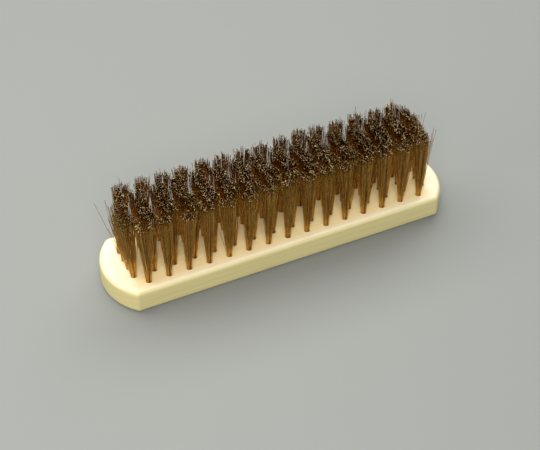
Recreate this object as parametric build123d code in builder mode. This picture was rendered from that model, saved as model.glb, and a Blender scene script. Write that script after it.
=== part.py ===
from build123d import *
import os

# A hand scrubbing brush for metalwork: a one-piece wooden block, drilled from above, and
# tufts of fine bronze wire. Every tuft is a bundle folded in half over a flat metal anchor,
# and the anchor is driven into the walls of its blind hole and holds the bundle down.
#
# Frame: X along the block, Y across it, Z up, with the bristles pointing up.
# Origin: the middle of the block's flat underside. All sizes are in millimetres.

# ---- wooden block ----
block_length = 184.0
block_width = 44.0
block_thickness = 13.0
end_bow = 9.8              # how far each curved end stands out past its two corners
corner_radius = 2.0
top_edge_radius = 2.5
base_edge_radius = 2.5

# ---- pattern of the tufts ----
# Four inner rows share one rectangular grid. The front and the back row have one tuft
# fewer and stand half a pitch along, between the columns of the grid.
column_pitch = 10.6
row_pitch = 6.3
inner_columns = 16
inner_rows = 4
outer_columns = inner_columns - 1
outer_row_y = row_pitch * (inner_rows + 1) / 2

# ---- blind hole under each tuft ----
hole_diameter = 3.0
hole_depth = 9.0
drill_point_height = 0.9

# ---- tuft of wire ----
root_diameter = 2.8
fold_radius = 1.0          # the bundle is rounded underneath, where its wires are folded
trim_height = 35.0         # from the block's top face to the tips
tip_diameter = 5.8         # the bundle fans out to this, just clear of the next row

# ---- flat anchor through the fold ----
anchor_thickness = 0.4
anchor_span = 4.4          # wider than the hole, so that both ends bite into the wood
anchor_height = 2.0
anchor_lift = 0.8          # wire between the anchor and the bottom of the hole

hole_floor = block_thickness - hole_depth
anchor_bottom = hole_floor + anchor_lift

inner_points = [
    ((column - (inner_columns - 1) / 2) * column_pitch, (row - (inner_rows - 1) / 2) * row_pitch)
    for column in range(inner_columns)
    for row in range(inner_rows)
]
outer_xs = [(column - (outer_columns - 1) / 2) * column_pitch for column in range(outer_columns)]
front_points = [(x, -outer_row_y) for x in outer_xs]
back_points = [(x, outer_row_y) for x in outer_xs]
all_points = front_points + inner_points + back_points


def make_block():
    """The wooden block, with a blind hole and an anchor slot for every tuft."""
    corner_x = block_length / 2 - end_bow
    side_y = block_width / 2
    with BuildPart() as block:
        with BuildSketch() as outline:
            with BuildLine():
                Line((-corner_x, -side_y), (corner_x, -side_y))
                ThreePointArc((corner_x, -side_y), (block_length / 2, 0), (corner_x, side_y))
                Line((corner_x, side_y), (-corner_x, side_y))
                ThreePointArc((-corner_x, side_y), (-block_length / 2, 0), (-corner_x, -side_y))
            make_face()
            fillet(outline.vertices(), radius=corner_radius)
        extrude(amount=block_thickness)
        fillet(block.faces().sort_by(Axis.Z)[-1].edges(), radius=top_edge_radius)
        fillet(block.faces().sort_by(Axis.Z)[0].edges(), radius=base_edge_radius)

        with BuildSketch(Plane.XY.offset(block_thickness)):
            with Locations(*all_points):
                Circle(hole_diameter / 2)
        extrude(amount=-hole_depth, mode=Mode.SUBTRACT)
        with Locations(*[(x, y, hole_floor) for x, y in all_points]):
            Cone(
                0.0,
                hole_diameter / 2,
                drill_point_height,
                align=(Align.CENTER, Align.CENTER, Align.MAX),
                mode=Mode.SUBTRACT,
            )
        with BuildSketch(Plane.XY.offset(anchor_bottom)):
            with Locations(*all_points):
                Rectangle(anchor_thickness, anchor_span)
        extrude(amount=anchor_height, mode=Mode.SUBTRACT)
    return block.part


def make_tuft():
    """One bundle of wire on the Z axis, as the closed solid that its wires fill."""
    root_radius = root_diameter / 2
    tip_z = block_thickness + trim_height
    with BuildPart() as tuft:
        with BuildSketch(Plane.XZ):
            with BuildLine():
                Line((0, hole_floor), (root_radius - fold_radius, hole_floor))
                RadiusArc(
                    (root_radius - fold_radius, hole_floor),
                    (root_radius, hole_floor + fold_radius),
                    -fold_radius,
                )
                Line((root_radius, hole_floor + fold_radius), (root_radius, block_thickness))
                Line((root_radius, block_thickness), (tip_diameter / 2, tip_z))
                Line((tip_diameter / 2, tip_z), (0, tip_z))
                Line((0, tip_z), (0, hole_floor))
            make_face()
        revolve(axis=Axis.Z)
        with Locations((0, 0, anchor_bottom)):
            Box(
                anchor_thickness,
                root_diameter,
                anchor_height,
                align=(Align.CENTER, Align.CENTER, Align.MIN),
                mode=Mode.SUBTRACT,
            )
    return tuft.part


def make_anchor():
    """One flat anchor on the Z axis, at its height in the hole."""
    with BuildPart() as anchor:
        with Locations((0, 0, anchor_bottom)):
            Box(
                anchor_thickness,
                anchor_span,
                anchor_height,
                align=(Align.CENTER, Align.CENTER, Align.MIN),
            )
    return anchor.part


def group_at(solid, points):
    """Separate copies of one solid, standing at the given points."""
    with BuildPart() as group:
        with Locations(*points):
            add(solid)
    return group.part


def write_node(part, name):
    part.label = name
    export_step(part, f"parts/{name}.step")


os.makedirs("parts", exist_ok=True)

write_node(make_block(), "wooden_block")

tuft_solid = make_tuft()
for column in range(inner_columns):
    first = column * inner_rows
    column_points = inner_points[first:first + inner_rows]
    write_node(group_at(tuft_solid, column_points), f"inner_tufts_column_{column + 1:02d}")
for column in range(outer_columns):
    write_node(group_at(tuft_solid, [front_points[column]]), f"front_tuft_{column + 1:02d}")
    write_node(group_at(tuft_solid, [back_points[column]]), f"back_tuft_{column + 1:02d}")

anchor_solid = make_anchor()
write_node(group_at(anchor_solid, front_points), "anchors_front_row")
for row in range(inner_rows):
    row_points = inner_points[row::inner_rows]
    write_node(group_at(anchor_solid, row_points), f"anchors_inner_row_{row + 1}")
write_node(group_at(anchor_solid, back_points), "anchors_back_row")
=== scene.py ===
import math

import bpy
import numpy as np
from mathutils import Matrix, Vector


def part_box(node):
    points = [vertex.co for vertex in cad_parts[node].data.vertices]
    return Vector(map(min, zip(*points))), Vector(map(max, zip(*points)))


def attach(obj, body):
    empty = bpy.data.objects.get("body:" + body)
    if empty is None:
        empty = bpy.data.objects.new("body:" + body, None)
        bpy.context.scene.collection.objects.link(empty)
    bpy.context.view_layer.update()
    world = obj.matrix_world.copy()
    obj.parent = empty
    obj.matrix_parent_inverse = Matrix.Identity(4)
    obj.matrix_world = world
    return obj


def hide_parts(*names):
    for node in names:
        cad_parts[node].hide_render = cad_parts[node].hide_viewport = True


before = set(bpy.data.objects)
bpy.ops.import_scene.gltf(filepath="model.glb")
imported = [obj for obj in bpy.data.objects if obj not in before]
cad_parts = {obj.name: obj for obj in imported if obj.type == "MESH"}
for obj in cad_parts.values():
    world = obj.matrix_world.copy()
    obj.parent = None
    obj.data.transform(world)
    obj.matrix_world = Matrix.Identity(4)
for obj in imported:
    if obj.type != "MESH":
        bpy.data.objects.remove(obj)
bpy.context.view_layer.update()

# The brush lies on its wooden block with its bristles up. Every length here is in metres, and
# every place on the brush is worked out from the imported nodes.
MM = 0.001
BODY = "root"

block_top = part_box("wooden_block")[1].z
front_low, front_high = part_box("front_tuft_01")
tuft_envelope_width = front_high.y - front_low.y
trim_height = front_high.z - block_top
hole_floor = front_low.z
anchor_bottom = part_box("anchors_front_row")[0].z
inner_rows = sum(name.startswith("anchors_inner_row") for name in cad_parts)
end_column_x = abs(front_low.x)                     # only the end columns stand further out
field_end_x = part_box("anchors_inner_row_1")[1].x    # the tufts' field ends here along the block
field_side_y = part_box("anchors_back_row")[1].y      # and here across it

# ---- painted bounce light on the wood ----
# Light bounced off the bronze wires is painted as a golden tint on the wood among the tufts, and
# the tint fades out over this width.
BOUNCE_TINT_FADE = 3.0 * MM

# ---- one wire ----
WIRE_RADIUS = 0.1 * MM
WIRE_SIDES = 5
LEG_HEIGHTS = (0.0, 0.12, 0.3, 0.5, 0.72, 1.0)  # rings along a leg, as shares of its free length
FOLD_ANGLES = (-50.0, 0.0, 50.0)                # rings round the fold, from one leg to the other
CUT_SLOPE = 0.5                  # the shears leave each end cut at about this slope
TIP_SHADE_DEPTH = 3.4 * MM           # painted shade darkens this much of each wire, from the tip down

# ---- one tuft ----
SEED = 1000                      # the first tuft node's seed; each of the others has the next one
ROOT_RADIUS = 1.32 * MM          # the wires' centres fill this circle at the block's face
ROOT_PITCH = 0.205 * MM          # spacing of the wires in the hole, packed in a hexagonal grid
ANCHOR_GAP = 0.32 * MM           # the innermost wires stand this far from the anchor's middle
FOLD_GAP = 0.18 * MM             # and pass this far below it
FAN = np.array((2.9, 2.45))      # how many times wider the bundle gets along and across the block
FLARE = 1.1                      # the bundle opens slowly at first, by this power of the height
TIP_SPREAD = np.array((0.75, 0.95)) * MM        # each tip wanders this much from its place
TIP_HEIGHT_SPREAD = 0.25 * MM
TUFT_HEIGHT_SPREAD = 0.2 * MM
BOW = 0.3 * MM                   # sideways bend of a wire at half height
STRAY_SHARE = 0.02               # share of the wires' ends that are bent out of the bundle
STRAY_SPREAD = 2.0 * MM
LONG_SHARE = 0.04                # share of the wires' ends that the trimming missed
LONG_EXTRA = 1.1 * MM
TUFT_LEAN = 0.45 * MM            # each tuft leans its own way by about this much at the tips

# ---- the end columns ----
# For the left end, -1, and the right end, 1, and their tufts from the front inner row to the
# back one: how far they lean outwards, and how many times as far as elsewhere their outer
# wires fan out.
END_LEANS = {
    -1: np.array((-0.5, 0.0, -0.1, -0.9)) * MM,
    1: np.array((-0.9, -0.3, -0.4, -0.6)) * MM,
}
END_FANS = {
    -1: (2.3, 1.9, 1.2, 0.4),
    1: (0.4, 0.7, 0.7, 0.5),
}
# A few wires that use has bent outwards: (end, row from the front, how far at the tip).
BENT_WIRES = (
    (-1, 4, 8.6 * MM),
    (-1, 4, 3.6 * MM),
    (-1, 3, 3.4 * MM),
    (1, 1, 4.6 * MM),
    (1, 1, 4.0 * MM),
    (1, 3, 3.8 * MM),
)

# ---- studio ----
WORLD_COLOUR = (0.95, 0.97, 1.0, 1.0)
WORLD_STRENGTH = 0.36
FLOOR_COLOUR = (0.21, 0.218, 0.205, 1.0)
FLOOR_HALF_WIDTH = 3.0
LIGHT_TARGET = Vector((0.0, 0.0, 0.02))
# Each light's name, location, size, power and colour.
LIGHTS = (
    ("key", (0.0, 0.42, 0.72), (1.7, 0.6), 13.4, (1.0, 0.99, 0.96)),
    ("fill", (-0.33, -0.7, 0.7), (0.5, 0.5), 8.7, (1.0, 0.99, 0.97)),
    ("left", (-1.0, -0.1, 0.35), (0.5, 0.5), 2.6, (1.0, 0.99, 0.97)),
)


def camera():
    """The camera stands in front of the brush, to its left, and looks down across it."""
    azimuth = math.radians(25.34)
    elevation = math.radians(42.09)
    distance = 0.7298
    target = Vector((-0.00448, -0.00448, 0.013))
    back = Vector((
        -math.sin(azimuth) * math.cos(elevation),
        -math.cos(azimuth) * math.cos(elevation),
        math.sin(elevation),
    ))
    data = bpy.data.cameras.new("camera")
    data.sensor_width = 36.0
    data.lens = 97.18
    data.clip_start = 0.01
    data.clip_end = 20.0
    cam = bpy.data.objects.new("camera", data)
    bpy.context.scene.collection.objects.link(cam)
    cam.location = target + back * distance
    cam.rotation_euler = (-back).to_track_quat("-Z", "Y").to_euler()
    bpy.context.scene.camera = cam


def area_light(name, location, size, power, colour):
    """A rectangular light that faces the brush."""
    data = bpy.data.lights.new(name, "AREA")
    data.shape = "RECTANGLE"
    data.size, data.size_y = size
    data.energy = power
    data.color = colour
    light = bpy.data.objects.new(name, data)
    bpy.context.scene.collection.objects.link(light)
    light.location = location
    light.rotation_euler = (LIGHT_TARGET - light.location).to_track_quat("-Z", "Y").to_euler()


def studio():
    """A plain pale floor under soft light: a wide key at the back, a fill in front, a weak left."""
    bpy.context.scene.view_settings.view_transform = "Standard"
    world = bpy.data.worlds.new("studio")
    bpy.context.scene.world = world
    world.use_nodes = True
    background = world.node_tree.nodes["Background"]
    background.inputs["Color"].default_value = WORLD_COLOUR
    background.inputs["Strength"].default_value = WORLD_STRENGTH
    for light in LIGHTS:
        area_light(*light)

    mesh = bpy.data.meshes.new("floor")
    signs = ((-1, -1), (1, -1), (1, 1), (-1, 1))
    corners = [(x * FLOOR_HALF_WIDTH, y * FLOOR_HALF_WIDTH, 0.0) for x, y in signs]
    mesh.from_pydata(corners, [], [(0, 1, 2, 3)])
    floor = bpy.data.objects.new("floor", mesh)
    bpy.context.scene.collection.objects.link(floor)
    mat = bpy.data.materials.new("floor_paper")
    mat.use_nodes = True
    shader = mat.node_tree.nodes["Principled BSDF"]
    shader.inputs["Base Color"].default_value = FLOOR_COLOUR
    shader.inputs["Roughness"].default_value = 0.7
    floor.data.materials.append(mat)


class Nodes:
    """Short calls for building one material's node tree."""

    def __init__(self, name):
        self.material = bpy.data.materials.new(name)
        self.material.use_nodes = True
        self.tree = self.material.node_tree
        self.shader = self.tree.nodes["Principled BSDF"]

    def add(self, kind, **settings):
        node = self.tree.nodes.new(kind)
        for key, value in settings.items():
            setattr(node, key, value)
        return node

    def link(self, source, target):
        self.tree.links.new(source, target)

    def place(self, scale, shift=(0, 0, 0)):
        """Object coordinates, stretched by scale along each axis and then shifted."""
        coords = self.add("ShaderNodeTexCoord")
        mapping = self.add("ShaderNodeMapping")
        mapping.inputs["Scale"].default_value = scale
        mapping.inputs["Location"].default_value = shift
        self.link(coords.outputs["Object"], mapping.inputs["Vector"])
        return mapping.outputs["Vector"]

    def position(self):
        """The sockets X, Y and Z of the object coordinates."""
        split = self.add("ShaderNodeSeparateXYZ")
        self.link(self.add("ShaderNodeTexCoord").outputs["Object"], split.inputs["Vector"])
        return split.outputs

    def fade(self, value, start, end):
        """A smooth step from 0 where value is start to 1 where it is end."""
        node = self.add("ShaderNodeMapRange", interpolation_type="SMOOTHSTEP")
        node.inputs["From Min"].default_value = start
        node.inputs["From Max"].default_value = end
        self.link(value, node.inputs["Value"])
        return node.outputs["Result"]

    def calculate(self, operation, *values):
        node = self.add("ShaderNodeMath", operation=operation)
        for value, socket in zip(values, node.inputs):
            self.link(value, socket)
        return node.outputs["Value"]

    def noise(self, vector, scale, detail=2.0, roughness=0.5):
        node = self.add("ShaderNodeTexNoise")
        node.inputs["Scale"].default_value = scale
        node.inputs["Detail"].default_value = detail
        node.inputs["Roughness"].default_value = roughness
        self.link(vector, node.inputs["Vector"])
        return node.outputs["Fac"]

    def ramp(self, factor, stops):
        node = self.add("ShaderNodeValToRGB")
        while len(node.color_ramp.elements) < len(stops):
            node.color_ramp.elements.new(0.5)
        for element, (position, colour) in zip(node.color_ramp.elements, stops):
            element.position = position
            element.color = (*colour, 1.0)
        self.link(factor, node.inputs["Fac"])
        return node.outputs["Color"]

    def multiply(self, first, second, share=1.0):
        """The first colour, with this share of it multiplied by the second."""
        node = self.add("ShaderNodeMix", data_type="RGBA", blend_type="MULTIPLY")
        node.inputs["Factor"].default_value = share
        self.link(first, node.inputs["A"])
        self.link(second, node.inputs["B"])
        return node.outputs["Result"]

    def scale_to(self, factor, low, high):
        node = self.add("ShaderNodeMapRange")
        node.inputs["To Min"].default_value = low
        node.inputs["To Max"].default_value = high
        self.link(factor, node.inputs["Value"])
        return node.outputs["Result"]

    def bump(self, height, strength, distance):
        node = self.add("ShaderNodeBump")
        node.inputs["Strength"].default_value = strength
        node.inputs["Distance"].default_value = distance
        self.link(height, node.inputs["Height"])
        self.link(node.outputs["Normal"], self.shader.inputs["Normal"])


def outside_drilled_field(n):
    """A value that goes from 0 among the tufts to 1 beyond the outermost ones."""
    position = n.position()
    steps = [
        n.fade(
            n.calculate("ABSOLUTE", position[axis]), edge - BOUNCE_TINT_FADE / 2, edge + BOUNCE_TINT_FADE / 2)
        for axis, edge in (("X", field_end_x), ("Y", field_side_y))
    ]
    return n.calculate("MAXIMUM", *steps)


def wood_material():
    """Pale sanded hardwood: faint growth rings and fine fibres, with painted shade on the sides and
    painted golden bounce light among the tufts.
    """
    n = Nodes("sanded_pale_wood")
    rings = n.add("ShaderNodeTexWave", wave_type="RINGS", rings_direction="X")
    rings.inputs["Scale"].default_value = 90.0
    rings.inputs["Distortion"].default_value = 2.4
    rings.inputs["Detail"].default_value = 2.0
    rings.inputs["Detail Scale"].default_value = 0.35
    n.link(n.place((0.25, 1.0, 1.0), shift=(0.0, 0.055, 0.12)), rings.inputs["Vector"])
    fibre = n.noise(n.place((9.0, 260.0, 260.0)), scale=4.0, detail=4.0, roughness=0.6)
    cloud = n.noise(n.place((12.0, 30.0, 30.0)), scale=1.4, detail=2.0, roughness=0.5)
    base = n.ramp(rings.outputs["Fac"], [
        (0.0, (0.92, 0.815, 0.575)),
        (0.6, (0.915, 0.807, 0.562)),
        (1.0, (0.895, 0.785, 0.535)),
    ])
    streak = n.ramp(fibre, [
        (0.25, (0.86, 0.82, 0.72)),
        (0.55, (1.0, 1.0, 1.0)),
    ])
    tone = n.ramp(cloud, [
        (0.3, (0.96, 0.93, 0.88)),
        (0.7, (1.0, 1.0, 1.0)),
    ])
    facing = n.add("ShaderNodeSeparateXYZ")
    n.link(n.add("ShaderNodeNewGeometry").outputs["Normal"], facing.inputs["Vector"])
    # Painted shade: the wood is darkest on its upright faces and brightens over the rounded edges
    # to the top, as light falls from above.
    sides = n.ramp(facing.outputs["Z"], [
        (0.3, (0.66, 0.66, 0.46)),
        (0.75, (0.81, 0.80, 0.665)),
        (0.97, (1.0, 1.0, 1.0)),
    ])
    # Painted bounce light: a golden tint on the wood among the tufts stands for light reflected off
    # the bronze wires.
    painted_bounce_tint = n.ramp(outside_drilled_field(n), [
        (0.0, (1.0, 0.92, 0.70)),
        (1.0, (0.97, 0.97, 0.97)),
    ])
    colour = n.multiply(base, streak, share=0.5)
    colour = n.multiply(colour, tone, share=0.8)
    colour = n.multiply(colour, sides)
    colour = n.multiply(colour, painted_bounce_tint)
    n.link(colour, n.shader.inputs["Base Color"])
    n.link(n.scale_to(fibre, low=0.5, high=0.68), n.shader.inputs["Roughness"])
    n.bump(fibre, strength=0.25, distance=0.2 * MM)
    return n.material


def wire_material():
    """Drawn bronze wire: its tone changes from wire to wire, and it has painted shade that darkens
    it towards the tips.
    """
    n = Nodes("drawn_bronze_wire")
    tone = n.noise(n.place((2600.0, 2600.0, 45.0)), scale=1.0, detail=2.0, roughness=0.6)
    colour = n.ramp(tone, [
        (0.28, (0.38, 0.205, 0.042)),
        (0.50, (0.63, 0.36, 0.084)),
        (0.72, (0.87, 0.56, 0.165)),
    ])
    tip_z = block_top + trim_height
    # Painted shade: the wires darken towards the tips, standing in for the dark gaps between them
    # at the top of the tufts.
    painted_tip_shade = n.ramp(n.fade(n.position()["Z"], tip_z - TIP_SHADE_DEPTH, tip_z), [
        (0.0, (1.0, 1.0, 1.0)),
        (1.0, (0.45, 0.42, 0.27)),
    ])
    n.link(n.multiply(colour, painted_tip_shade), n.shader.inputs["Base Color"])
    n.shader.inputs["Metallic"].default_value = 1.0
    n.link(n.scale_to(tone, low=0.1, high=0.2), n.shader.inputs["Roughness"])
    return n.material


def cut_end_material():
    """Cut wire ends: rougher metal than the drawn surface, from dull to bright."""
    n = Nodes("cut_bronze_end")
    tone = n.noise(n.place((1800.0, 1800.0, 1800.0)), scale=1.0, detail=1.0, roughness=0.5)
    colour = n.ramp(tone, [
        (0.35, (0.34, 0.20, 0.08)),
        (0.65, (1.0, 0.80, 0.43)),
    ])
    n.link(colour, n.shader.inputs["Base Color"])
    n.shader.inputs["Metallic"].default_value = 1.0
    n.link(n.scale_to(tone, low=0.2, high=0.38), n.shader.inputs["Roughness"])
    return n.material


def anchor_material():
    """Flat galvanised wire, rolled and sheared."""
    n = Nodes("galvanised_flat_wire")
    marks = n.noise(n.place((900.0, 4000.0, 900.0)), scale=1.0, detail=3.0, roughness=0.6)
    colour = n.ramp(marks, [
        (0.3, (0.42, 0.41, 0.39)),
        (0.7, (0.66, 0.65, 0.62)),
    ])
    n.link(colour, n.shader.inputs["Base Color"])
    n.shader.inputs["Metallic"].default_value = 1.0
    n.link(n.scale_to(marks, low=0.3, high=0.5), n.shader.inputs["Roughness"])
    return n.material


def root_grid():
    """Places of the wires' outer halves in a hole: hexagonal packing, right of the anchor."""
    row_step = ROOT_PITCH * math.sqrt(3) / 2
    reach = int(ROOT_RADIUS / row_step) + 1
    places = []
    for row in range(-reach, reach + 1):
        y = row * row_step
        shift = ROOT_PITCH / 2 if row % 2 else 0.0
        for step in range(reach + 1):
            x = ANCHOR_GAP + shift + step * ROOT_PITCH
            if x * x + y * y <= ROOT_RADIUS * ROOT_RADIUS:
                places.append((x, y))
    return np.array(places)


ROOTS = root_grid()


def fan_out(rng, roots, lean, outward, row):
    """Where the tips stand, seen from above; outward is -1 or 1 in an end column, 0 elsewhere."""
    count = len(roots)
    tips = roots * FAN + rng.normal(0.0, 1.0, (count, 2)) * TIP_SPREAD
    if outward:
        tips[tips[:, 0] * outward > 0, 0] *= END_FANS[outward][row - 1]
        tips[:, 0] += outward * END_LEANS[outward][row - 1]
    stray = rng.random(count) < STRAY_SHARE
    tips[stray] += rng.normal(0.0, STRAY_SPREAD, (stray.sum(), 2))
    return tips + lean


def legs(rng, roots, tips, height):
    """Rings of one side's legs, from the anchor's lower edge to the tips: (wires, rings, 3)."""
    count = len(roots)
    length = height + rng.normal(0.0, TIP_HEIGHT_SPREAD, count)
    long = rng.random(count) < LONG_SHARE
    length[long] += rng.exponential(LONG_EXTRA, long.sum())
    top = np.sqrt(length ** 2 - ((tips - roots) ** 2).sum(axis=1))
    bow = rng.normal(0.0, BOW, (count, 2))
    rings = np.zeros((count, len(LEG_HEIGHTS) + 1, 3))
    rings[:, 0, :2] = roots
    rings[:, 0, 2] = anchor_bottom
    for index, share in enumerate(LEG_HEIGHTS):
        bend = bow * math.sin(math.pi * share)
        rings[:, index + 1, :2] = roots + (tips - roots) * share ** FLARE + bend
        rings[:, index + 1, 2] = block_top + top * share
    return rings


def fold(roots):
    """Rings round the fold below the anchor, from the left leg to the right one."""
    depth_room = anchor_bottom - hole_floor - WIRE_RADIUS
    share = (roots[:, 0] - ANCHOR_GAP) / (ROOT_RADIUS - ANCHOR_GAP)
    depth = FOLD_GAP + share * (depth_room - FOLD_GAP)
    rings = np.zeros((len(roots), len(FOLD_ANGLES), 3))
    for index, degrees in enumerate(FOLD_ANGLES):
        angle = math.radians(degrees)
        rings[:, index, 0] = roots[:, 0] * math.sin(angle)
        rings[:, index, 1] = roots[:, 1]
        rings[:, index, 2] = anchor_bottom - depth * math.cos(angle)
    return rings


def tuft_paths(rng, x, y, row):
    """Centre lines of a tuft's wires, each folded in half over the anchor."""
    lean = rng.normal(0.0, TUFT_LEAN, 2)
    height = trim_height + rng.normal(0.0, TUFT_HEIGHT_SPREAD)
    outward = round(math.copysign(1, x)) if abs(x) > end_column_x else 0
    sides = []
    for side in (-1, 1):
        roots = ROOTS * (side, 1.0)
        tips = fan_out(rng, roots, lean, outward, row)
        if side == outward:
            bent = [
                reach for end, bent_row, reach in BENT_WIRES if (end, bent_row) == (outward, row)]
            outermost = np.argsort(-abs(roots[:, 0]))[:len(bent)]
            tips[outermost, 0] = roots[outermost, 0] + outward * np.array(bent)
        sides.append(legs(rng, roots, tips, height))
    left, right = sides
    paths = np.concatenate([left[:, ::-1], fold(ROOTS), right], axis=1)
    return paths + np.array((x, y, 0.0))


def tube_mesh(name, paths, rng):
    """One mesh of round tubes along the paths, (wires, rings, 3), with cut ends on slot 1."""
    wires, rings, _ = paths.shape
    along = np.gradient(paths, axis=1)
    along /= np.linalg.norm(along, axis=2, keepdims=True)
    side = np.cross(np.array((0.0, 1.0, 0.0)), along)
    side /= np.linalg.norm(side, axis=2, keepdims=True)
    other = np.cross(along, side)
    turn = np.arange(WIRE_SIDES) * 2 * math.pi / WIRE_SIDES
    circle = side[:, :, None] * np.cos(turn)[:, None] + other[:, :, None] * np.sin(turn)[:, None]
    verts = paths[:, :, None] + circle * WIRE_RADIUS
    for ring in (0, rings - 1):
        slope = rng.normal(0.0, CUT_SLOPE, (wires, 2))
        offset = circle[:, ring] * WIRE_RADIUS
        verts[:, ring, :, 2] += offset[:, :, 0] * slope[:, :1] + offset[:, :, 1] * slope[:, 1:]

    index = np.arange(wires * rings * WIRE_SIDES).reshape(wires, rings, WIRE_SIDES)
    after = np.roll(index, -1, axis=2)
    walls = np.stack([index[:, :-1], after[:, :-1], after[:, 1:], index[:, 1:]], axis=-1)
    walls = walls.reshape(-1, 4)
    caps = np.concatenate([index[:, 0, ::-1], index[:, -1]])
    mesh = bpy.data.meshes.new(name)
    mesh.from_pydata(verts.reshape(-1, 3).tolist(), [], walls.tolist() + caps.tolist())
    is_cap = np.zeros(len(walls) + len(caps), dtype=bool)
    is_cap[len(walls):] = True
    mesh.polygons.foreach_set("material_index", is_cap.astype(np.int32))
    mesh.polygons.foreach_set("use_smooth", ~is_cap)
    ends = np.zeros(len(mesh.edges) * 2, dtype=np.int32)
    mesh.edges.foreach_get("vertices", ends)
    ring_of = ends.reshape(-1, 2) // WIRE_SIDES % rings
    around_end = (ring_of[:, 0] == ring_of[:, 1]) & np.isin(ring_of[:, 0], (0, rings - 1))
    mesh.edges.foreach_set("use_edge_sharp", around_end)
    mesh.update()
    return mesh


def tuft_centres(node):
    """Where a node's tufts stand: one in the middle, or a line of them across the block."""
    low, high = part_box(node)
    x = (low.x + high.x) / 2
    count = inner_rows if node.startswith("inner") else 1
    if count == 1:
        return [(x, (low.y + high.y) / 2)]
    first = low.y + tuft_envelope_width / 2
    step = (high.y - low.y - tuft_envelope_width) / (count - 1)
    return [(x, first + row * step) for row in range(count)]


def wires(wire, cut_end):
    """Replace every tuft solid by its own wires."""
    tuft_nodes = sorted(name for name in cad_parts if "tuft" in name)
    for seed, node in enumerate(tuft_nodes, start=SEED):
        rng = np.random.default_rng(seed)
        paths = np.concatenate([
            tuft_paths(rng, x, y, row) for row, (x, y) in enumerate(tuft_centres(node), start=1)])
        name = node.replace("tufts", "wires").replace("tuft", "wires")
        piece = bpy.data.objects.new(name, tube_mesh(name, paths, rng))
        bpy.context.scene.collection.objects.link(piece)
        piece.data.materials.append(wire)
        piece.data.materials.append(cut_end)
        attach(piece, BODY)
        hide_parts(node)


def dress(node, material):
    """Give a CAD node its finished material."""
    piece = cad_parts[node]
    if not piece.material_slots:
        piece.data.materials.append(material)
    for slot in piece.material_slots:
        slot.material = material


camera()
studio()
dress("wooden_block", wood_material())
anchor_metal = anchor_material()
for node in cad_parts:
    if node.startswith("anchors"):
        dress(node, anchor_metal)
wires(wire_material(), cut_end_material())
